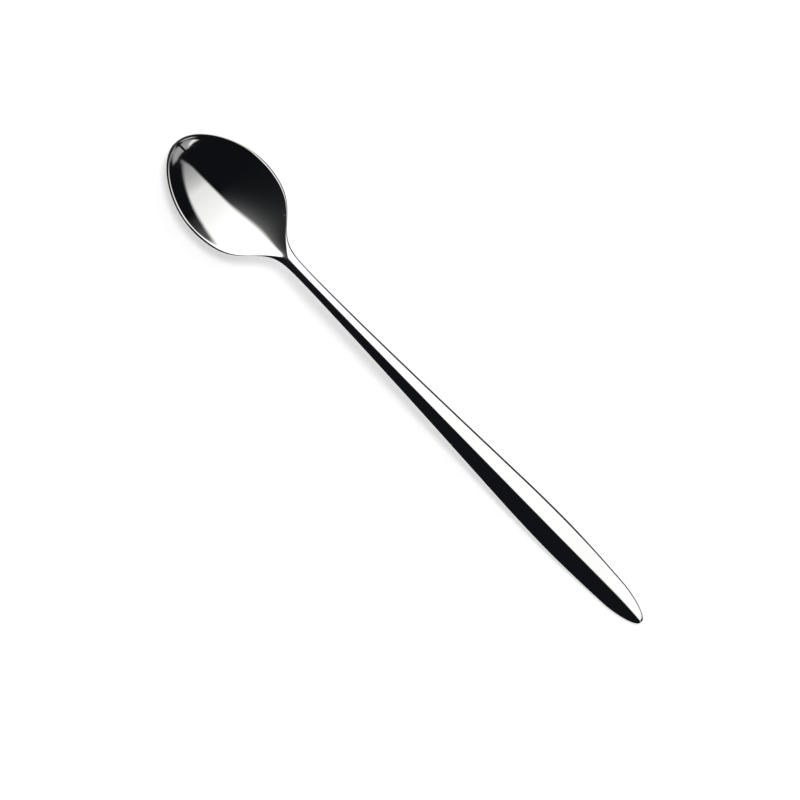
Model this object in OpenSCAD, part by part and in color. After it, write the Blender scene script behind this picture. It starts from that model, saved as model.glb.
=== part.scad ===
// Iced tea spoon: one forging of polished stainless steel, lying with its bowl upwards.
// It is cut by two cross planes into bowl, neck and handle, which meet face to face.
// Every solid is a run of closed sections. A distance named "at" is measured along the
// spoon from the handle's end. The finished part is centred on its length.

/* [Overall] */
// Length of the spoon, from the handle's end to the bowl's end
length = 200; // [170:1:240]

/* [Handle] */
// Width of the handle where it is widest
handle_w = 10.9; // [8:0.1:14]
// Distance from the handle's end to its widest place
handle_w_at = 36.5; // [28:0.5:50]
// Length of the rounded point at the handle's end
handle_round = 12.5; // [8:0.5:18]
// Thickness on the ridge where the handle is widest
handle_t = 2.4; // [2:0.1:3.4]
// Thickness on the ridge at the handle's end
end_t = 1.7; // [1.4:0.1:2.2]
// Height of the handle's side wall
handle_edge = 0.95; // [0.7:0.05:1.2]
// Softness of the ridge where the handle is widest
ridge_r = 0.4; // [0.3:0.1:1.5]

/* [Neck] */
// Width of the neck where it is narrowest
neck_w = 4.1; // [3.4:0.1:6]
// Distance from the bowl's hollow back to the narrowest place
neck_back = 7.5; // [4:0.5:12]
// Length of the neck, from the bowl's hollow to the handle
neck_l = 34; // [20:1:45]
// Thickness of the neck on its ridge
neck_t = 2.9; // [2.5:0.1:3.6]
// Height of the neck's side wall
neck_edge = 1.35; // [1:0.05:1.6]
// Softness of the neck's ridge
neck_ridge_r = 0.3; // [0.2:0.05:0.8]

/* [Bowl] */
// Length of the bowl, from the point of its hollow to its end
bowl_l = 48.5; // [42:0.5:60]
// Width of the bowl over its rim
bowl_w = 30.2; // [26:0.2:38]
// Distance from the bowl's end to its widest place
bowl_w_back = 23.3; // [19:0.1:27]
// Distance from the bowl's end to its deepest place
bowl_deep_back = 24.5; // [20:0.5:28]
// Depth of the hollow below the rim
bowl_depth = 6.6; // [5:0.1:9]
// Thickness of the steel at the bottom of the bowl
bowl_t = 1.1; // [0.9:0.05:1.6]
// Width of the rim's land
rim_w = 0.8; // [0.6:0.05:1.4]
// Height of the rim's edge
rim_edge = 0.75; // [0.6:0.05:0.85]
// Fall of the rim's land towards its outer edge
rim_drop = 0.05; // [0.05:0.01:0.2]
// Softness of the rim's inner edge
rim_r = 0.25; // [0.05:0.05:0.3]

/* [Side profile] */
// Height of the ridge where the handle is widest
handle_h = 4.4; // [3:0.1:7]
// Height of the ridge at the top of the arch
arch_h = 11.9; // [9:0.1:16]
// Distance from the bowl's hollow back to the top of the arch
arch_back = 13; // [8:1:24]
// Height of the ridge where the bowl's hollow begins
hollow_h = 10.9; // [9.5:0.1:15]
// Rise of the rim at the bowl's end above the rim beside its deepest place
end_rise = 0; // [0:0.1:2]

/* [Edges] */
// Radius of the rounded outer edges
edge_r = 0.25; // [0.2:0.05:0.6]
// Half width of the blunt nose at either end
nose = 0.3; // [0.2:0.05:0.5]

/* [Hidden] */

// Where the shoulder between neck and bowl ends, as a share of the bowl
shoulder_share = 0.12;

// Where things lie along the spoon, from the handle's end
hollow_at = length - bowl_l;
neck_at = hollow_at - neck_back;
neck_end = hollow_at - neck_l;
arch_at = hollow_at - arch_back;
bowl_w_at = length - bowl_w_back;
deep_at = length - bowl_deep_back;
shoulder_at = hollow_at + shoulder_share * bowl_l;
hollow_end = length - rim_w;

// Heights of the crest, which is the ridge on the handle and the rim's inner edge on the bowl
rim_h = bowl_depth + bowl_t;
mid_at_share = 0.5;
mid_h_share = 0.6;
shoulder_h_share = 0.7;
// The handle's end lies flat on the table as far as this share of the way to its widest place
flat_share = 0.3;
flat_h_share = 0.1;

// Half width from the widest place of the handle (1) to the neck (0)
taper_shares = [[0, 1], [0.11, 0.948], [0.22, 0.816], [0.44, 0.522], [0.66, 0.262], [0.83, 0.1], [1, 0]];
// Half width from the neck (0) to the widest place of the bowl (1)
shoulder_shares = [[0, 0], [0.2, 0.014], [0.3, 0.065], [0.38, 0.176], [0.46, 0.37], [0.54, 0.59],
    [0.64, 0.785], [0.76, 0.915], [0.88, 0.978], [1, 1]];
// Half width of the hollow, from its point to the widest place, as a share of the bowl inside its rim
hollow_w_shares = [[0, 0], [0.05, 0.34], [0.12, 0.64], [0.2, 0.855], [0.32, 0.967], [0.5, 1], [1, 1]];
// How steeply that share starts
hollow_open_share = 8.5;
// Depth of the hollow from its point to its deepest place
depth_shares = [[0, 0], [0.2, 0.13], [0.4, 0.41], [0.6, 0.715], [0.8, 0.925], [1, 1]];

// The handle's point: its width share before it is rounded, and how fast it fills out
point_share = 0.67;
point_power = 1.6;
// Where along the thickness between its ridge and its side wall a flank ends
end_fall_share = 0.8;
handle_fall_share = 0.92;
neck_fall_share = 0.57;
hollow_fall_share = 0.53;
shoulder_fall_share = 0.15;
// How far the neck has thinned towards the bowl's steel at the hollow and at the shoulder
hollow_thin_share = 0.12;
shoulder_thin_share = 0.55;
// How much the bowl's end narrows against an ellipse, and how flat its floor is
egg_share = 0.13;
floor_power = 2.4;
// How far the ridge has sharpened towards the rim's edge where the hollow begins
soften_share = 0.5;
// Share of a flank's fall that curves
swell_share = 0.25;
// Most of an edge's height and of a half width that its rounding may take
round_edge_share = 0.45;
round_w_share = 0.4;
// Mesh column beside the ridge on the handle, and where the hollow begins
ridge_col_share = 0.3;
pinch_col_share = 0.08;

// How finely the surfaces are divided
hollow_steps = 10;
flank_steps = 4;
edge_steps = 2;
under_steps = 8;
end_rings = 12;
handle_rings = 16;
neck_rings = 10;
shoulder_rings = 20;
nose_angle = 0.5;

// Smooth curve through a table of points, flat at both ends unless a slope is given
function rise(p, i) = (p[i + 1][1] - p[i][1]) / (p[i + 1][0] - p[i][0]);
function slope(p, i) =
    let (a = rise(p, i - 1), b = rise(p, i))
    a * b <= 0 ? 0 : 2 * a * b / (a + b);
function curve(p, x, first = 0, last = 0) =
    let (
        n = len(p) - 1,
        i = max([0, for (k = [0 : n - 1]) if (p[k][0] <= x) k]),
        w = p[i + 1][0] - p[i][0],
        t = min(1, max(0, (x - p[i][0]) / w)),
        a = i == 0 ? first : slope(p, i),
        b = i == n - 1 ? last : slope(p, i + 1)
    )
    p[i][1] * (1 + 2 * t) * (1 - t) * (1 - t) + p[i + 1][1] * t * t * (3 - 2 * t)
    + w * a * t * (1 - t) * (1 - t) - w * b * t * t * (1 - t);
function part_way(a, b, x) = (x - a) / (b - a);
function mix(a, b, t) = a + (b - a) * t;

// Values that change along the spoon
function thick(at) = curve([[0, end_t], [handle_w_at, handle_t], [neck_at, neck_t],
    [hollow_at, mix(neck_t, bowl_t, hollow_thin_share)],
    [shoulder_at, mix(neck_t, bowl_t, shoulder_thin_share)], [deep_at, bowl_t], [length, bowl_t]], at);
function edge_h(at) = curve([[0, handle_edge], [handle_w_at, handle_edge], [neck_at, neck_edge],
    [shoulder_at, rim_edge], [length, rim_edge]], at);
function fall(at) = curve([[0, end_fall_share * (end_t - handle_edge)],
    [handle_w_at, handle_fall_share * (handle_t - handle_edge)],
    [neck_at, neck_fall_share * (neck_t - neck_edge)],
    [hollow_at, hollow_fall_share * (neck_t - neck_edge)],
    [shoulder_at, shoulder_fall_share * (neck_t - neck_edge)],
    [bowl_w_at, rim_drop], [length, rim_drop]], at);
function softness(at) = curve([[0, ridge_r], [handle_w_at, ridge_r], [neck_at, neck_ridge_r],
    [hollow_at, mix(neck_ridge_r, rim_r, soften_share)], [shoulder_at, rim_r], [length, rim_r]], at);
function crest_h(at) = curve([[0, end_t],
    [flat_share * handle_w_at, mix(end_t, handle_h, flat_h_share)], [handle_w_at, handle_h],
    [mix(handle_w_at, arch_at, mid_at_share), mix(handle_h, arch_h, mid_h_share)],
    [arch_at, arch_h], [hollow_at, hollow_h], [shoulder_at, mix(rim_h, hollow_h, shoulder_h_share)],
    [deep_at, rim_h], [length, rim_h + end_rise]], at);
function depth(at) = at < hollow_at ? 0
    : at < deep_at ? bowl_depth * curve(depth_shares, part_way(hollow_at, deep_at, at))
    : bowl_depth * (1 - pow(min(1, part_way(deep_at, hollow_end, at)), floor_power));

// Outline of the spoon from above
function body_w(at) = at < neck_at
    ? mix(neck_w, handle_w, curve(taper_shares, part_way(handle_w_at, neck_at, at))) / 2
    : mix(neck_w, bowl_w, curve(shoulder_shares, part_way(neck_at, bowl_w_at, at))) / 2;
function point_w(at) =
    let (full = point_share + (1 - point_share) * (1 - pow(1 - at / handle_w_at, point_power)))
    full * handle_w / 2;
function handle_end(a) =
    let (at = handle_round * (1 - cos(a)))
    [at, nose + (point_w(at) - nose) * sin(a)];
function bowl_end(a) =
    let (w = bowl_w / 2 - nose)
    [bowl_w_at + bowl_w_back * sin(a), nose + w * cos(a) * (1 - egg_share * pow(sin(a), 2))];

// A station is its outline point, the inward direction there, the point on its crest,
// and the half width of its hollow
function inward(p, q) = let (d = q - p) [d[1], -d[0]] / norm(d);
function hollow_w(at) = at <= hollow_at ? 0
    : body_w(at) * (1 - 2 * rim_w / bowl_w)
        * curve(hollow_w_shares, part_way(hollow_at, bowl_w_at, at), hollow_open_share);
function stem_station(at, w, in) =
    let (
        near = max(0, 1 - (hollow_at - at) / neck_l),
        col = w * mix(ridge_col_share, pinch_col_share, near * near)
    )
    [[at, w], in, [at + edge_r * in[0], col], 0];
function plain_station(at) = stem_station(at, at < handle_w_at ? point_w(at) : body_w(at), [0, -1]);
function bowl_station(at) =
    let (w = body_w(at), c = hollow_w(at))
    [[at, w], [0, -1], [at, max(c, pinch_col_share * w)], c];
function handle_end_station(a) =
    let (p = handle_end(a), in = inward(handle_end(a - nose_angle), handle_end(a + nose_angle)))
    stem_station(p[0], p[1], in[0] < 0 ? -in : in);
function bowl_end_station(a) =
    let (
        p = bowl_end(a),
        in = inward(bowl_end(a - nose_angle), bowl_end(a + nose_angle)),
        c = p + rim_w * in
    )
    [p, in, c, c[1]];

// Height of the upper surface at a distance y from the centre line
function soft(t, r) = sqrt(t * t + r * r);
function soft_top(v, r) = (v + soft(v, r)) / 2;
function top_z(at, y, c, y_end) =
    let (
        r = softness(at),
        g0 = 2 * soft(c, r),
        g = soft(y - c, r) + soft(y + c, r),
        g1 = soft(y_end - c, r) + soft(y_end + c, r),
        plain = (g - g0) / (g1 - g0),
        swell = pow(max(0, y - c) / (y_end - c), 2),
        dip = c > 0 ? depth(at) * soft_top(1 - pow(y / c, 2), 2 * r / c) : 0
    )
    crest_h(at) - fall(at) * mix(plain, swell, swell_share) - dip;

// How far the underside hangs below the rim's lower edge
belly_max = bowl_depth + bowl_t - rim_drop - rim_edge;
function under_depth(at) = at <= deep_at ? depth(at)
    : bowl_depth * (1 - pow(part_way(deep_at, length, at), floor_power));

// Half of the section at a station, from the crest's middle round to the middle of the underside
function half_section(s) =
    let (
        p = s[0], in = s[1], c = s[2], hollow = s[3], at = p[0],
        edge = edge_h(at),
        r = min(edge_r, round_edge_share * edge, round_w_share * max(p[1], rim_w)),
        a_top = atan(fall(at) * (1 + swell_share) / max(p[1] - hollow, rim_w)),
        q = p + r * (1 - sin(a_top)) * in,
        land = norm(q - c),
        z_q = top_z(q[0], c[1] + land, hollow, c[1] + land),
        belly = max(0, thick(at) + under_depth(at) - fall(at) - edge),
        side_steep = 2 * belly / max(p[1], rim_w),
        end_steep = floor_power * belly_max / bowl_w_back,
        a_under = atan(at > bowl_w_at ? mix(side_steep, end_steep, pow(in[0], 2)) : side_steep),
        b = p + r * (1 - sin(a_under)) * in,
        z_b = z_q - edge
    )
    concat(
        [for (k = [0 : hollow_steps]) let (y = c[1] * sin(90 * k / hollow_steps))
            [c[0], y, top_z(c[0], y, hollow, c[1] + land)]],
        [for (k = [1 : flank_steps]) let (m = mix(c, q, k / flank_steps))
            [m[0], m[1], top_z(m[0], c[1] + land * k / flank_steps, hollow, c[1] + land)]],
        [for (k = [1 : edge_steps]) let (a = mix(a_top, 90, k / edge_steps), m = p + r * (1 - sin(a)) * in)
            [m[0], m[1], z_q - r * (cos(a_top) - cos(a))]],
        [for (k = [0 : edge_steps]) let (a = mix(90, 180 - a_under, k / edge_steps),
                m = p + r * (1 - sin(a)) * in)
            [m[0], m[1], z_b + r * (cos(a_under) + cos(a))]],
        [for (k = [1 : under_steps]) let (y = b[1] * cos(90 * k / under_steps))
            [b[0], y, z_b - belly * (1 - pow(y / b[1], 2))]]
    );

// The three runs of sections, from the handle's end to the bowl's end
function halves(stations) = [for (s = stations) half_section(s)];
handle_run = halves(concat(
    [for (k = [0 : end_rings]) handle_end_station(90 * k / end_rings)],
    [for (k = [1 : handle_rings]) plain_station(mix(handle_round, neck_end, k / handle_rings))]));
neck_run = halves([for (k = [0 : neck_rings]) plain_station(mix(neck_end, hollow_at, k / neck_rings))]);
bowl_run = halves(concat(
    [for (k = [0 : shoulder_rings]) bowl_station(mix(hollow_at, bowl_w_at, k / shoulder_rings))],
    [for (k = [1 : end_rings]) bowl_end_station(90 * k / end_rings)]));

// The table's height is the lowest point of all
function lowest(run) = min([for (h = run) each [for (p = h) p[2]]]);
table_z = min(lowest(handle_run), lowest(neck_run), lowest(bowl_run));

// Closed solid through a run of half sections, mirrored about the centre line
module loft(run) {
    m = len(run[0]);
    ring = 2 * m - 2;
    far = (len(run) - 1) * ring;
    points = [for (h = run) each concat(
        [for (p = h) [p[0] - length / 2, -p[1], p[2] - table_z]],
        [for (k = [m - 2 : -1 : 1]) [h[k][0] - length / 2, h[k][1], h[k][2] - table_z]])];
    sides = [for (i = [0 : len(run) - 2]) for (k = [0 : ring - 1])
        let (a = i * ring + k, b = i * ring + (k + 1) % ring)
        each [[a, b + ring, b], [a, a + ring, b + ring]]];
    function other(k) = (ring - k) % ring;
    far_cap = [for (k = [0 : m - 2]) each [
        if (k > 0) [k + far, other(k) + far, other(k + 1) + far],
        if (k < m - 2) [k + far, other(k + 1) + far, k + 1 + far]]];
    near_cap = [for (f = far_cap) [f[0] - far, f[2] - far, f[1] - far]];
    polyhedron(points = points, faces = concat(sides, near_cap, far_cap));
}

module bowl() {
    color("silver") loft(bowl_run);
}

module neck() {
    color("silver") loft(neck_run);
}

module handle() {
    color("silver") loft(handle_run);
}

bowl();
neck();
handle();
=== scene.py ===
import math
from functools import lru_cache

import bpy
from mathutils import Matrix, Vector


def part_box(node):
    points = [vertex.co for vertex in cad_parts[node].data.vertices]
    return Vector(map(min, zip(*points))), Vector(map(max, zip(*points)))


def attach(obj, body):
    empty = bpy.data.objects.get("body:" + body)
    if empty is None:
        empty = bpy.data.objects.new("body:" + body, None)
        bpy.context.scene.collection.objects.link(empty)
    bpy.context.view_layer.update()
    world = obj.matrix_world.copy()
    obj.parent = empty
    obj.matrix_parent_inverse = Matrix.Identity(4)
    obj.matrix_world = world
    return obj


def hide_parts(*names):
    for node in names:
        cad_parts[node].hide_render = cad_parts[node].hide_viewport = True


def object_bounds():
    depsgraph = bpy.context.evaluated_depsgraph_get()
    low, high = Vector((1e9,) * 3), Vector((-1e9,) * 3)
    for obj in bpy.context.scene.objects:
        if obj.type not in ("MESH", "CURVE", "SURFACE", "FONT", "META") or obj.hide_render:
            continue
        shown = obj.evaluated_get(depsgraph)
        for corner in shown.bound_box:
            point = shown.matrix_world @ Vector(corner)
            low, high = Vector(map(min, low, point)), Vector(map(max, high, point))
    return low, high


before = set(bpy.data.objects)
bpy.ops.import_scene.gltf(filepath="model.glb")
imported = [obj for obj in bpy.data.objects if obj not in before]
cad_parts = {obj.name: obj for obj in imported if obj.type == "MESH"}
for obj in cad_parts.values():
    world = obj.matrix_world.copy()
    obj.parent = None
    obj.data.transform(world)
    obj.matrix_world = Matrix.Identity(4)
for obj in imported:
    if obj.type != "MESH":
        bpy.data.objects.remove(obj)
cad_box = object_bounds()


# The blank: the spoon is struck from one strip of stainless steel, so its ridge, edges and
# underside run on from the handle through the neck into the bowl. Its long lines are set here,
# in millimetres from the handle's end, and every region below is laid on them.
mm = 0.001
cad_low, cad_high = cad_box
bowl_low, bowl_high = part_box("bowl")
handle_low, handle_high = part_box("handle")
length = (cad_high.x - cad_low.x) / mm
hollow_at = length / 2 + bowl_low.x / mm
neck_end = length / 2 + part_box("neck")[0].x / mm
bowl_l = length - hollow_at
bowl_w = (bowl_high.y - bowl_low.y) / mm
handle_w = (handle_high.y - handle_low.y) / mm

handle_w_at = 36.5
handle_t = 2.4
end_t = 1.7
tip_clear = 0.015
handle_edge = 0.95
ridge_r = 0.4
neck_w = 4.1
neck_back = 7.5
neck_t = 2.9
neck_edge = 1.35
neck_ridge_r = 0.3
bowl_w_back = 23.3
deep_back = 24.5
shoulder_share = 0.12
bowl_depth = 6.6
bowl_t = 1.1
rim_w = 0.8
rim_edge = 0.75
rim_drop = 0.05
rim_r = 0.25
handle_h = 4.4
arch_h = 11.9
arch_back = 13.0
hollow_h = 10.9
edge_r = 0.25
bowl_edge_r = 0.125
bowl_end_edge_r = 0.1125

neck_at = hollow_at - neck_back
arch_at = hollow_at - arch_back
shoulder_at = hollow_at + shoulder_share * bowl_l
bowl_w_at = length - bowl_w_back
deep_at = length - deep_back
hollow_end = length - rim_w
rim_h = bowl_depth + bowl_t


def mix(a, b, t):
    return a + (b - a) * t


# Places and values in between, as shares of those above.
low_at = 0.3 * handle_w_at
climb_at = (handle_w_at + arch_at) / 2
steeper_at = 0.55 * length
finer_edge_at = bowl_w_at + 0.35 * bowl_w_back
low_h = mix(end_t, handle_h, 0.1)
climb_h = mix(handle_h, arch_h, 0.6)
shoulder_h = mix(rim_h, hollow_h, 0.7)
hollow_t = mix(neck_t, bowl_t, 0.12)
shoulder_t = mix(neck_t, bowl_t, 0.55)

thickness = [(0, end_t), (handle_w_at, handle_t), (neck_at, neck_t), (hollow_at, hollow_t),
             (shoulder_at, shoulder_t), (deep_at, bowl_t), (length, bowl_t)]
side_wall = [(0, handle_edge), (handle_w_at, handle_edge), (neck_at, neck_edge),
             (shoulder_at, rim_edge), (length, rim_edge)]
flank_slope = [(0, 0.165), (handle_w_at, 0.245), (steeper_at, 0.37), (neck_at, 0.43),
               (hollow_at, 0.4), (shoulder_at, 0.34), (bowl_w_at, rim_drop / rim_w),
               (length, rim_drop / rim_w)]
ridge_softness = [(0, ridge_r), (handle_w_at, ridge_r), (neck_at, neck_ridge_r),
                  (hollow_at, neck_ridge_r), (shoulder_at, rim_r), (length, rim_r)]
edge_softness = [(0, edge_r), (bowl_w_at, edge_r), (finer_edge_at, bowl_edge_r),
                 (length, bowl_end_edge_r)]
ridge_line = [(0, end_t + tip_clear), (low_at, low_h), (handle_w_at, handle_h), (climb_at, climb_h),
              (arch_at, arch_h), (hollow_at, hollow_h), (shoulder_at, shoulder_h), (deep_at, rim_h),
              (length, rim_h)]
hollow_floor = [(0, 0), (0.2, 0.13), (0.4, 0.41), (0.6, 0.715), (0.8, 0.925), (1, 1)]
floor_power = 2.4


def curve(points, x, first=0.0):
    """Smooth line through points, level at both ends unless a first slope is given."""
    def rise(i):
        return (points[i + 1][1] - points[i][1]) / (points[i + 1][0] - points[i][0])

    def slope(i):
        a, b = rise(i - 1), rise(i)
        return 0.0 if a * b <= 0 else 2 * a * b / (a + b)

    last = len(points) - 2
    i = max([0] + [k for k in range(last + 1) if points[k][0] <= x])
    w = points[i + 1][0] - points[i][0]
    t = min(1.0, max(0.0, (x - points[i][0]) / w))
    a = first if i == 0 else slope(i)
    b = 0.0 if i == last else slope(i + 1)
    rest = 1 - t
    ends = points[i][1] * (1 + 2 * t) * rest ** 2 + points[i + 1][1] * t * t * (3 - 2 * t)
    return ends + w * a * t * rest ** 2 - w * b * t * t * rest


faired_reach = 4.8
faired_taps = 40


def faired(line, last=hollow_end, most=faired_reach):
    """A long line of the spoon, averaged a little way to both sides so that it has no kinks."""
    spread = [2 * (k + 1) / (faired_taps + 1) - 1 for k in range(faired_taps)]
    weights = [(1 - t * t) ** 3 for t in spread]

    @lru_cache(maxsize=None)
    def value(at):
        reach = max(0.0, min(most, at, last - at))
        return sum(w * line(at + reach * t) for w, t in zip(weights, spread)) / sum(weights)
    return value


def sunk(at, end=hollow_end):
    """How far the bowl is sunk below its rim, from the hollow's tip to the end that is given."""
    if at < hollow_at:
        return 0.0
    if at < deep_at:
        return bowl_depth * curve(hollow_floor, (at - hollow_at) / (deep_at - hollow_at))
    return bowl_depth * (1 - min(1.0, (at - deep_at) / (end - deep_at)) ** floor_power)


point_share = 0.67
point_power = 1.6
taper = [(0, 1), (0.11, 0.948), (0.22, 0.816), (0.44, 0.522), (0.66, 0.262), (0.83, 0.1), (1, 0)]
shoulders = [(0, 0), (0.2, 0.014), (0.3, 0.065), (0.38, 0.176), (0.46, 0.37), (0.54, 0.59),
             (0.64, 0.785), (0.76, 0.915), (0.88, 0.978), (1, 1)]


def half_width(at):
    """From the handle's point over the neck to the widest place of the bowl."""
    if at < handle_w_at:
        full = point_share + (1 - point_share) * (1 - (1 - at / handle_w_at) ** point_power)
        return full * handle_w / 2
    if at < neck_at:
        return mix(neck_w, handle_w, curve(taper, (at - handle_w_at) / (neck_at - handle_w_at))) / 2
    return mix(neck_w, bowl_w, curve(shoulders, (at - neck_at) / (bowl_w_at - neck_at))) / 2


stem_w = faired(half_width, bowl_w_at)

hollow_open = 8.5
hollow_mouth = [(0, 0), (0.05, 0.34), (0.12, 0.64), (0.2, 0.855), (0.32, 0.967), (0.5, 1), (1, 1)]


def mouth_w(at):
    """Half width of the hollow, which opens quickly from its tip to the land round the rim."""
    if at <= hollow_at:
        return 0.0
    open_share = curve(hollow_mouth, (at - hollow_at) / (bowl_w_at - hollow_at), hollow_open)
    return stem_w(at) * (1 - 2 * rim_w / bowl_w) * open_share


mouth_reach = 2.4
hollow_w = faired(mouth_w, bowl_w_at, mouth_reach)


def flank_fall(at):
    """How far the upper face falls from its crest to the outer edge."""
    flank = stem_w(at) - mouth_w(at) if at < bowl_w_at else rim_w
    return flank * curve(flank_slope, at)


thick = faired(lambda at: curve(thickness, at))
edge_h = faired(lambda at: curve(side_wall, at))
fall = faired(flank_fall)
softness = faired(lambda at: curve(ridge_softness, at))
crest_h = faired(lambda at: curve(ridge_line, at))
depth_line = faired(sunk)
under_depth = faired(lambda at: sunk(at, length))
tip_l = 3.5


def depth(at):
    """Depth of the hollow, which runs out softly at its tip."""
    return depth_line(at) * curve([(0, 0), (tip_l, 1)], max(0.0, at - hollow_at))


# Bowl: the spoon's end, pressed into an egg-shaped hollow with a narrow flat land round its rim.
# It is buffed round and round inside, so its finest marks run along the hollow. Its section is
# also the neck's and the handle's: crest, flank, fine bevel, side wall and rounded underside.
swell_share = 0.25
belly_max = bowl_depth + bowl_t - rim_drop - rim_edge
hollow_cols = 30
flank_cols = 10
edge_cols = 5
under_cols = 16
bevel_tilts = (math.radians(36), math.radians(46))
bevel_flats = [(0, 3), (8, 6.5), (24, 9.5), (40, 14), (64, 13.5), (120, 12), (neck_at, 8.5),
               (shoulder_at, 7), (length, 7)]
shallow_flat = 3.0
bevel_cols = (5, 3, 5)
wall_share = 0.45
width_share = 0.4


def soft(t, r):
    return math.sqrt(t * t + r * r)


def top_z(at, y, c, y_end):
    """Height of the upper surface at y from the centre line, with a hollow of half width c."""
    r = softness(at)
    g0 = 2 * soft(c, r)
    g = soft(y - c, r) + soft(y + c, r)
    g1 = soft(y_end - c, r) + soft(y_end + c, r)
    swell = (max(0.0, y - c) / (y_end - c)) ** 2
    dip = 0.0
    if c > 0:
        v = 1 - (y / c) ** 2
        dip = depth(at) * (v + soft(v, 2 * r / c)) / 2
    return crest_h(at) - fall(at) * mix((g - g0) / (g1 - g0), swell, swell_share) - dip


def edge_line(r, first, bevel_flat):
    """The upper outer edge from one tilt to upright, as (outward, drop): a round with a fine bevel."""
    line = [(0.0, 0.0)]
    tilts = (first, *bevel_tilts, math.pi / 2)
    for start, end, cols in zip(tilts, tilts[1:], bevel_cols):
        turn = (end - start) / cols
        for k in range(cols):
            a = start + (k + 0.5) * turn
            flat = 1 + shallow_flat * (1 - a / (math.pi / 2)) ** 2
            if start == bevel_tilts[0]:
                flat += bevel_flat
            outward, drop = line[-1]
            line.append((outward + r * flat * turn * math.cos(a), drop + r * flat * turn * math.sin(a)))
    return line


def half_section(p, inward, crest, hollow):
    """Half of a section, from the crest's middle over the edge to the middle of the underside.

    The edge is at p, and the crest is the ridge's shoulder or the hollow's mouth.
    """
    at = p.x
    edge = edge_h(at)
    r = min(curve(edge_softness, at), wall_share * edge, width_share * max(p.y, rim_w))
    flank = max(p.y - hollow, (p - crest).length)
    a_top = min(bevel_tilts[0], math.atan(fall(at) * (1 + swell_share) / flank))
    rounding = edge_line(r, a_top, curve(bevel_flats, at))
    q = p + inward * rounding[-1][0]
    land = (q - crest).length
    far = crest.y + (p - crest).length
    z_q = top_z(q.x, crest.y + land, hollow, far)
    belly = max(0.0, thick(at) + under_depth(at) - fall(at) - edge)
    steep = 2 * belly / max(p.y, rim_w)
    if at > bowl_w_at:
        steep = mix(steep, floor_power * belly_max / bowl_w_back, inward.x ** 2)
    a_under = math.atan(steep)
    b = p + inward * r * (1 - math.sin(a_under))
    z_b = top_z(p.x, far, hollow, far) - edge
    points = []
    # The hollow, or the round of the ridge.
    for k in range(hollow_cols + 1):
        y = crest.y * math.sin(math.pi / 2 * k / hollow_cols)
        points.append((crest.x, y, top_z(crest.x, y, hollow, far)))
    # The flank, or the land round the rim.
    for k in range(1, flank_cols + 1):
        m = crest.lerp(q, k / flank_cols)
        points.append((m.x, m.y, top_z(m.x, crest.y + land * k / flank_cols, hollow, far)))
    # The bevel.
    for outward, drop in rounding[1:]:
        m = q - inward * outward
        points.append((m.x, m.y, z_q - drop))
    # The side wall's rounded foot.
    for k in range(edge_cols + 1):
        a = mix(math.pi / 2, math.pi - a_under, k / edge_cols)
        m = p + inward * r * (1 - math.sin(a))
        points.append((m.x, m.y, z_b + r * (math.cos(a_under) + math.cos(a))))
    # The underside.
    for k in range(1, under_cols + 1):
        y = b.y * math.cos(math.pi / 2 * k / under_cols)
        points.append((b.x, y, z_b - belly * (1 - (y / b.y) ** 2)))
    return points


end_gap = 0.001
merge_gap = 0.0005
crease = math.radians(60)


def close_end(piece, end_x):
    """Fills the open loop of edges at one end."""
    bpy.ops.mesh.select_all(action="DESELECT")
    bpy.ops.mesh.select_non_manifold()
    bpy.ops.object.mode_set(mode="OBJECT")
    mesh = piece.data
    there = [e.index for e in mesh.edges if e.select
             and all(abs(mesh.vertices[v].co.x - end_x) < end_gap * mm for v in e.vertices)]
    bpy.ops.object.mode_set(mode="EDIT")
    bpy.ops.mesh.select_all(action="DESELECT")
    bpy.ops.object.mode_set(mode="OBJECT")
    for index in there:
        mesh.edges[index].select = True
    bpy.ops.object.mode_set(mode="EDIT")
    bpy.ops.mesh.fill()


def lay_skin(name, sections, table_z):
    """A grid whose rows are laid round the sections, sewn along its side and closed at its ends."""
    ring_size = 2 * len(sections[0]) - 1
    bpy.ops.object.select_all(action="DESELECT")
    bpy.ops.mesh.primitive_grid_add(x_subdivisions=ring_size - 1, y_subdivisions=len(sections) - 1,
                                    size=2)
    piece = bpy.context.object
    piece.name = name
    piece.data.name = name
    for i, section in enumerate(sections):
        ring = [(x, -y, z) for x, y, z in section] + section[-2::-1]
        for k, (x, y, z) in enumerate(ring):
            place = Vector((x - length / 2, y, z - table_z)) * mm
            piece.data.vertices[i * ring_size + k].co = place
    bpy.ops.object.mode_set(mode="EDIT")
    bpy.ops.mesh.select_all(action="SELECT")
    bpy.ops.mesh.remove_doubles(threshold=merge_gap * mm)
    bpy.ops.mesh.select_mode(type="EDGE")
    for section in (sections[0], sections[-1]):
        if max(y for x, y, z in section) > 0:
            close_end(piece, (section[0][0] - length / 2) * mm)
    bpy.ops.mesh.select_all(action="SELECT")
    bpy.ops.mesh.normals_make_consistent(inside=False)
    bpy.ops.object.mode_set(mode="OBJECT")
    bpy.ops.object.shade_smooth_by_angle(angle=crease)
    return piece


def spaced(first, last, gap, near=0.05):
    """Places from first to last, about gap apart, with one more close to either end."""
    steps = max(2, round(abs(last - first) / gap))
    inner = [mix(first, last, k / steps) for k in range(1, steps)]
    turn = math.copysign(near, last - first)
    return [first, first + turn] + inner + [last - turn, last]


def inward_of(outline, a, step=0.01):
    """Direction square to an end's outline, towards the inside."""
    d = outline(a + step) - outline(a - step)
    n = Vector((d.y, -d.x)).normalized()
    return -n if n.y > 0 else n


pinch_share = 0.08
egg_share = 0.13
nose = 0.3
bowl_gap = 0.3
bowl_end_rings = 72
square = Vector((0.0, -1.0))


def bowl_outline(a):
    w = bowl_w / 2 - nose
    across = nose + w * math.cos(a) * (1 - egg_share * math.sin(a) ** 2)
    return Vector((bowl_w_at + bowl_w_back * math.sin(a), across))


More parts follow.
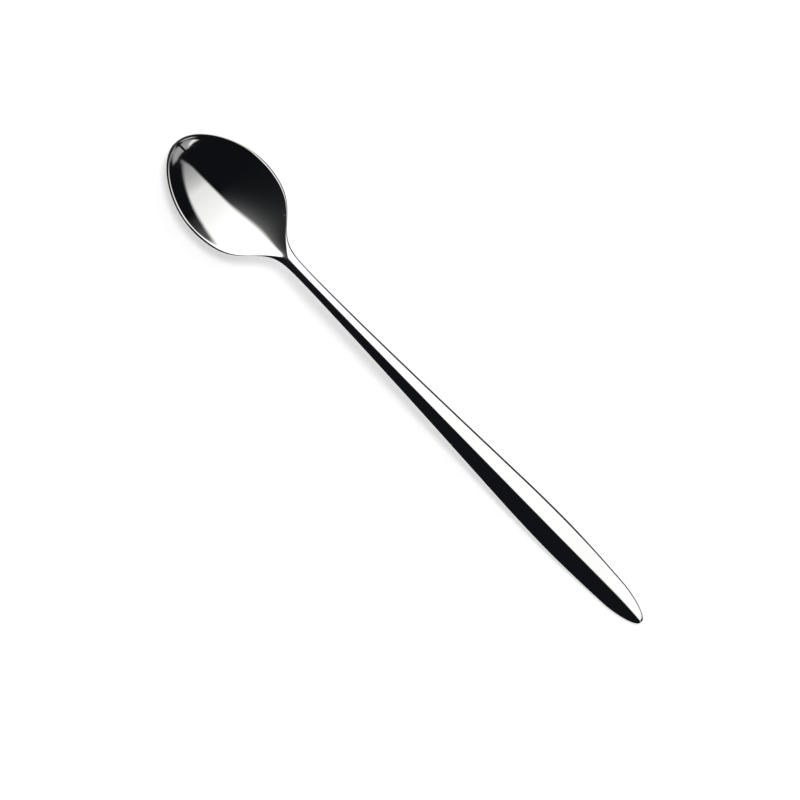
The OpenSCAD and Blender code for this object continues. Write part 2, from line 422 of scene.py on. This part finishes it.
def shoulder_section(at):
    w = stem_w(at)
    c = hollow_w(at)
    return half_section(Vector((at, w)), square, Vector((at, max(c, pinch_share * w))), c)


bowl_sections = [shoulder_section(at) for at in spaced(hollow_at, bowl_w_at, bowl_gap)]
for k in range(1, bowl_end_rings + 1):
    a = math.pi / 2 * k / bowl_end_rings
    p = bowl_outline(a)
    inward = inward_of(bowl_outline, a) if k < bowl_end_rings else Vector((-1.0, 0.0))
    crest = p + inward * rim_w
    bowl_sections.append(half_section(p, inward, crest, crest.y))
bowl_sections.append([(x, 0.0, z) for x, y, z in bowl_sections[-1]])
table_z = min(z for section in bowl_sections for x, y, z in section)
bowl = lay_skin("polished_bowl", bowl_sections, table_z)


steel_tint = (0.79, 0.79, 0.78)
hazy_tint = tuple(0.94 * c for c in steel_tint)
mark_detail = 4.0
mark_strength = 0.5
haze_scale = 90.0
haze_detail = 3.0
faint_marks = 0.15
heavy_marks = 0.4
bright_polish = 0.03
dull_polish = 0.075


def steel(name, marks_along, marks_across, mark_depth):
    """Mirror-polished stainless steel, with faint buffing marks and a soft haze."""
    material = bpy.data.materials.new(name)
    material.use_nodes = True
    nodes = material.node_tree.nodes
    links = material.node_tree.links
    shader = nodes["Principled BSDF"]
    shader.inputs["Metallic"].default_value = 1.0
    place = nodes.new("ShaderNodeTexCoord")
    stretch = nodes.new("ShaderNodeMapping")
    stretch.inputs["Scale"].default_value = (marks_along, marks_across, marks_across)
    links.new(place.outputs["Object"], stretch.inputs["Vector"])
    marks = nodes.new("ShaderNodeTexNoise")
    marks.inputs["Scale"].default_value = 1.0
    marks.inputs["Detail"].default_value = mark_detail
    links.new(stretch.outputs["Vector"], marks.inputs["Vector"])
    haze = nodes.new("ShaderNodeTexNoise")
    haze.inputs["Scale"].default_value = haze_scale
    haze.inputs["Detail"].default_value = haze_detail
    links.new(place.outputs["Object"], haze.inputs["Vector"])
    both = nodes.new("ShaderNodeMath")
    both.operation = "MULTIPLY"
    links.new(marks.outputs["Fac"], both.inputs[0])
    links.new(haze.outputs["Fac"], both.inputs[1])
    gloss = nodes.new("ShaderNodeMapRange")
    gloss.inputs["From Min"].default_value = faint_marks
    gloss.inputs["From Max"].default_value = heavy_marks
    gloss.inputs["To Min"].default_value = bright_polish
    gloss.inputs["To Max"].default_value = dull_polish
    links.new(both.outputs["Value"], gloss.inputs["Value"])
    links.new(gloss.outputs["Result"], shader.inputs["Roughness"])
    shade = nodes.new("ShaderNodeMix")
    shade.data_type = "RGBA"
    shade.inputs["A"].default_value = (*steel_tint, 1.0)
    shade.inputs["B"].default_value = (*hazy_tint, 1.0)
    links.new(haze.outputs["Fac"], shade.inputs["Factor"])
    links.new(shade.outputs["Result"], shader.inputs["Base Color"])
    relief = nodes.new("ShaderNodeBump")
    relief.inputs["Strength"].default_value = mark_strength
    relief.inputs["Distance"].default_value = mark_depth
    links.new(marks.outputs["Fac"], relief.inputs["Height"])
    links.new(relief.outputs["Normal"], shader.inputs["Normal"])
    return material


bowl_steel = steel("bowl_steel", marks_along=500.0, marks_across=1800.0, mark_depth=0.0000004)
bowl.data.materials.append(bowl_steel)

# Painted shade: the bowl's colour is made a little greyer towards its end, so that what it mirrors
# there comes out darker. This comes on across the deepest place, over the span set just below.
painted_shade_from = -12.0
painted_shade_to = 8.0
painted_shade_tint = tuple(0.77 * c for c in steel_tint)
deep_x = deep_at - length / 2
bowl_nodes = bowl_steel.node_tree.nodes
bowl_links = bowl_steel.node_tree.links
bowl_shader = bowl_nodes["Principled BSDF"]
bowl_place = bowl_nodes.new("ShaderNodeSeparateXYZ")
bowl_links.new(bowl_nodes["Texture Coordinate"].outputs["Object"], bowl_place.inputs["Vector"])
painted_shade_mask = bowl_nodes.new("ShaderNodeMapRange")
painted_shade_mask.inputs["From Min"].default_value = (deep_x + painted_shade_from) * mm
painted_shade_mask.inputs["From Max"].default_value = (deep_x + painted_shade_to) * mm
bowl_links.new(bowl_place.outputs["X"], painted_shade_mask.inputs["Value"])
painted_shade_mix = bowl_nodes.new("ShaderNodeMix")
painted_shade_mix.data_type = "RGBA"
painted_shade_mix.inputs["B"].default_value = (*painted_shade_tint, 1.0)
bowl_links.new(painted_shade_mask.outputs["Result"], painted_shade_mix.inputs["Factor"])
bowl_links.new(bowl_shader.inputs["Base Color"].links[0].from_socket, painted_shade_mix.inputs["A"])
bowl_links.new(painted_shade_mix.outputs["Result"], bowl_shader.inputs["Base Color"])
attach(bowl, "root")
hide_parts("bowl")


# Neck: the slender part of the forging behind the bowl, where the handle's ridge is sharpest.
# It is linished along its length, so its marks run that way.
neck_gap = 0.4
point_land = 0.7
ridge_share = 0.3


def stem_section(at, w, inward):
    near = max(0.0, 1 - (hollow_at - at) / (hollow_at - neck_end))
    c = hollow_w(at)
    column = max(c, w * mix(ridge_share, pinch_share, near * near))
    return half_section(Vector((at, w)), inward, Vector((at + point_land * inward.x, column)), c)


neck_sections = [stem_section(at, stem_w(at), square) for at in spaced(neck_end, hollow_at, neck_gap)]
neck = lay_skin("polished_neck", neck_sections, table_z)
neck_steel = steel("neck_steel", marks_along=60.0, marks_across=2500.0, mark_depth=0.0000005)
neck.data.materials.append(neck_steel)
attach(neck, "root")
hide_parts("neck")


# Handle: a flat leaf of the forging with a soft ridge down its middle and a rounded point.
# Like the neck, it is linished along its length before the last polish.
handle_round = 12.5
handle_gap = 0.8
handle_end_rings = 48


def handle_outline(a):
    at = handle_round * (1 - math.cos(a))
    return Vector((at, nose + (stem_w(at) - nose) * math.sin(a)))


handle_sections = []
for k in range(handle_end_rings):
    a = math.pi / 2 * k / handle_end_rings
    p = handle_outline(a)
    inward = inward_of(handle_outline, a) if k else Vector((1.0, 0.0))
    handle_sections.append(stem_section(p.x, p.y, inward))
handle_sections.insert(0, [(x, 0.0, z) for x, y, z in handle_sections[0]])
for at in spaced(handle_round, neck_end, handle_gap):
    handle_sections.append(stem_section(at, stem_w(at), square))
handle = lay_skin("polished_handle", handle_sections, table_z)
handle_steel = steel("handle_steel", marks_along=40.0, marks_across=2500.0, mark_depth=0.0000005)
handle.data.materials.append(handle_steel)
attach(handle, "root")
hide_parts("handle")


# Table: a plain white studio sweep that the spoon lies on. It shows white and keeps the shadow
# that two soft lamps throw from the spoon's right side, a high one and a low, wide one. Each
# lamp has its name, its lean and width in degrees, and its strength.
table_size = 8.0
table_colour = (0.86, 0.86, 0.86, 1.0)
table_roughness = 0.9
table_glow = 0.49
white = (1.0, 1.0, 1.0, 1.0)
shadow_lamps = (("high_lamp", 18, 18, 1.3), ("low_lamp", 45, 50, 0.6))

bpy.ops.object.select_all(action="DESELECT")
bpy.ops.mesh.primitive_plane_add(size=table_size, location=(0, 0, 0))
table = bpy.context.object
table.name = "studio_table"
table_paint = bpy.data.materials.new("table_white")
table_paint.use_nodes = True
table_nodes = table_paint.node_tree.nodes
table_links = table_paint.node_tree.links
table_shader = table_nodes["Principled BSDF"]
table_shader.inputs["Base Color"].default_value = table_colour
table_shader.inputs["Roughness"].default_value = table_roughness
table_shader.inputs["Specular IOR Level"].default_value = 0.0
table_shader.inputs["Emission Color"].default_value = white
table_rays = table_nodes.new("ShaderNodeLightPath")
seen = table_nodes.new("ShaderNodeMath")
seen.operation = "MAXIMUM"
table_links.new(table_rays.outputs["Is Camera Ray"], seen.inputs[0])
table_links.new(table_rays.outputs["Is Glossy Ray"], seen.inputs[1])
glow = table_nodes.new("ShaderNodeMath")
glow.operation = "MULTIPLY"
glow.inputs[1].default_value = table_glow
table_links.new(seen.outputs["Value"], glow.inputs[0])
table_links.new(glow.outputs["Value"], table_shader.inputs["Emission Strength"])
table.data.materials.append(table_paint)

for lamp_name, lamp_lean, lamp_width, lamp_strength in shadow_lamps:
    lamp_data = bpy.data.lights.new(lamp_name, "SUN")
    lamp_data.energy = lamp_strength
    lamp_data.angle = math.radians(lamp_width)
    lamp = bpy.data.objects.new(lamp_name, lamp_data)
    lamp.rotation_euler = (math.radians(lamp_lean), 0, 0)
    lamp.visible_glossy = False
    bpy.context.scene.collection.objects.link(lamp)


# Studio room: what the steel mirrors. One large softbox takes up the spoon's right side and fades
# towards the handle's end, a barred window stands low behind the handle, and the rest is dark.
# Each side of the softbox and window is a plane that faces inwards, with the blur of its edge.
dark_room = (0.0068, 0.0078, 0.0098)
softbox_colour = (1.0, 0.995, 0.985)
softbox_top = (0.099, -0.978, -0.184)
softbox_top_blur = (0.055, 0.1)
softbox_top_fade = (-0.3, 0.5)
softbox_sides = (((0.585, 0.209, 0.784), 0.06), ((0.383, 0.349, 0.855), 0.05),
                 ((0.565, -0.774, 0.286), 0.05))
softbox_levels = ((-0.66, 0.45), (-0.5, 0.65), (-0.38, 0.9), (-0.28, 1.27), (-0.1, 1.34))
window_slant = (-0.635, -0.234, -0.736)
window_sides = ((window_slant, (-0.012, 0.012)), ((-0.602, 0.051, -0.797), (-0.012, 0.012)),
                ((-0.665, 0.286, -0.689), (-0.015, 0.03)), ((0.503, 0.016, 0.864), (-0.015, 0.015)))
window_bar = 0.055
window_bar_edge = (0.035, 0.055)
window_levels = (0.5, 0.8)
window_brightens = (0.48, 0.6)
streak_edge = (0.045, 0.03)
streak_fade = (0.2, 0.4)
streak_level = 0.8
glow_level = 0.21
glow_fade = (-0.1, 0.9)
glow_lowest = -0.1
glow_decay = -3.8
fill_light = (0.09, 0.09, 0.09, 1.0)

room = bpy.data.worlds.new("studio_room")
bpy.context.scene.world = room
room.use_nodes = True
room_nodes = room.node_tree.nodes
room_links = room.node_tree.links
room_nodes.clear()
direction = room_nodes.new("ShaderNodeTexCoord").outputs["Generated"]


def feed(socket, value):
    if isinstance(value, (int, float, tuple)):
        socket.default_value = value
    else:
        room_links.new(value, socket)


def room_math(operation, *values):
    node = room_nodes.new("ShaderNodeMath")
    node.operation = operation
    for socket, value in zip(node.inputs, values):
        feed(socket, value)
    return node.outputs["Value"]


def towards(axis):
    """How far a direction points along an axis, from -1 to 1."""
    node = room_nodes.new("ShaderNodeVectorMath")
    node.operation = "DOT_PRODUCT"
    node.inputs[1].default_value = Vector(axis).normalized()
    feed(node.inputs[0], direction)
    return node.outputs["Value"]


def fade(value, first, last, low=0.0, high=1.0, shape="SMOOTHSTEP"):
    node = room_nodes.new("ShaderNodeMapRange")
    node.interpolation_type = shape
    for name, number in (("Value", value), ("From Min", first), ("From Max", last),
                         ("To Min", low), ("To Max", high)):
        feed(node.inputs[name], number)
    return node.outputs["Result"]


def product(first, second):
    return room_math("MULTIPLY", first, second)


along = towards((1, 0, 0))
left = towards((0, 1, 0))

top_blur = fade(along, *softbox_top_fade, *softbox_top_blur)
softbox = fade(towards(softbox_top), product(top_blur, -1.0), top_blur)
for softbox_side, blur in softbox_sides:
    softbox = product(softbox, fade(towards(softbox_side), -blur, blur))
softbox_level = softbox_levels[0][1]
for (x0, y0), (x1, y1) in zip(softbox_levels, softbox_levels[1:]):
    softbox_level = room_math("ADD", softbox_level, fade(along, x0, x1, 0.0, y1 - y0, "LINEAR"))
softbox = product(softbox, softbox_level)

glow_above = product(fade(along, *glow_fade, 0.0, glow_level, "LINEAR"),
                     room_math("EXPONENT", product(room_math("MAXIMUM", left, glow_lowest), glow_decay)))

streak = product(fade(towards(window_slant), *streak_edge), fade(left, *streak_fade, 0.0, streak_level))
window = room_math("ADD", fade(left, *window_brightens, *window_levels), streak)
for window_side, edge in window_sides:
    window = product(window, fade(towards(window_side), *edge))
from_bar = room_math("ABSOLUTE", room_math("SUBTRACT", left, window_bar))
window = product(window, fade(from_bar, *window_bar_edge))

mirrored = room_math("ADD", room_math("ADD", softbox, glow_above), window)
tinted = room_nodes.new("ShaderNodeVectorMath")
tinted.operation = "SCALE"
tinted.inputs[0].default_value = softbox_colour
room_links.new(mirrored, tinted.inputs["Scale"])
with_dark = room_nodes.new("ShaderNodeVectorMath")
with_dark.inputs[1].default_value = dark_room
room_links.new(tinted.outputs["Vector"], with_dark.inputs[0])
room_rays = room_nodes.new("ShaderNodeLightPath")


def ray_choice(chosen, otherwise, colour):
    node = room_nodes.new("ShaderNodeMix")
    node.data_type = "RGBA"
    room_links.new(chosen, node.inputs["Factor"])
    feed(node.inputs["A"], otherwise)
    feed(node.inputs["B"], colour)
    return node.outputs["Result"]


around = ray_choice(room_rays.outputs["Is Glossy Ray"], fill_light, with_dark.outputs["Vector"])
around = ray_choice(room_rays.outputs["Is Camera Ray"], around, white)
glowing = room_nodes.new("ShaderNodeBackground")
room_links.new(around, glowing.inputs["Color"])
room_out = room_nodes.new("ShaderNodeOutputWorld")
room_links.new(glowing.outputs["Background"], room_out.inputs["Surface"])


# Camera: a long lens almost straight above the spoon, leaning a little to its right side, and
# turned so that the bowl points to the picture's upper left.
picture = 800
per_mm = 3.348
middle_px = (409.1, 382.8)
lens = 180.0
sensor = 36.0
lean = math.radians(2.6)
aim_height = 5.0
spoon_in_picture = Vector((-0.6951, 0.7190)).normalized()

camera_data = bpy.data.cameras.new("camera")
camera_data.lens = lens
camera_data.sensor_width = sensor
camera_data.clip_start = 0.01
camera_data.clip_end = 20.0
camera = bpy.data.objects.new("camera", camera_data)
bpy.context.scene.collection.objects.link(camera)
bpy.context.scene.camera = camera
back = Vector((0, -math.sin(lean), math.cos(lean)))
side = Vector((1, 0, 0)).cross(back)
picture_right = Vector((1, 0, 0)) * spoon_in_picture.x + side * spoon_in_picture.y
picture_up = back.cross(picture_right)
frame_w = picture / per_mm * mm
distance = frame_w * lens / sensor
shift_right = (middle_px[0] - picture / 2) / per_mm * mm
shift_up = (picture / 2 - middle_px[1]) / per_mm * mm
aim = Vector((0, 0, aim_height * mm)) - picture_right * shift_right - picture_up * shift_up
facing = Matrix((picture_right, picture_up, back)).transposed()
camera.matrix_world = Matrix.Translation(aim + back * distance) @ facing.to_4x4()

bpy.context.scene.view_settings.view_transform = "Standard"

bpy.context.view_layer.update()
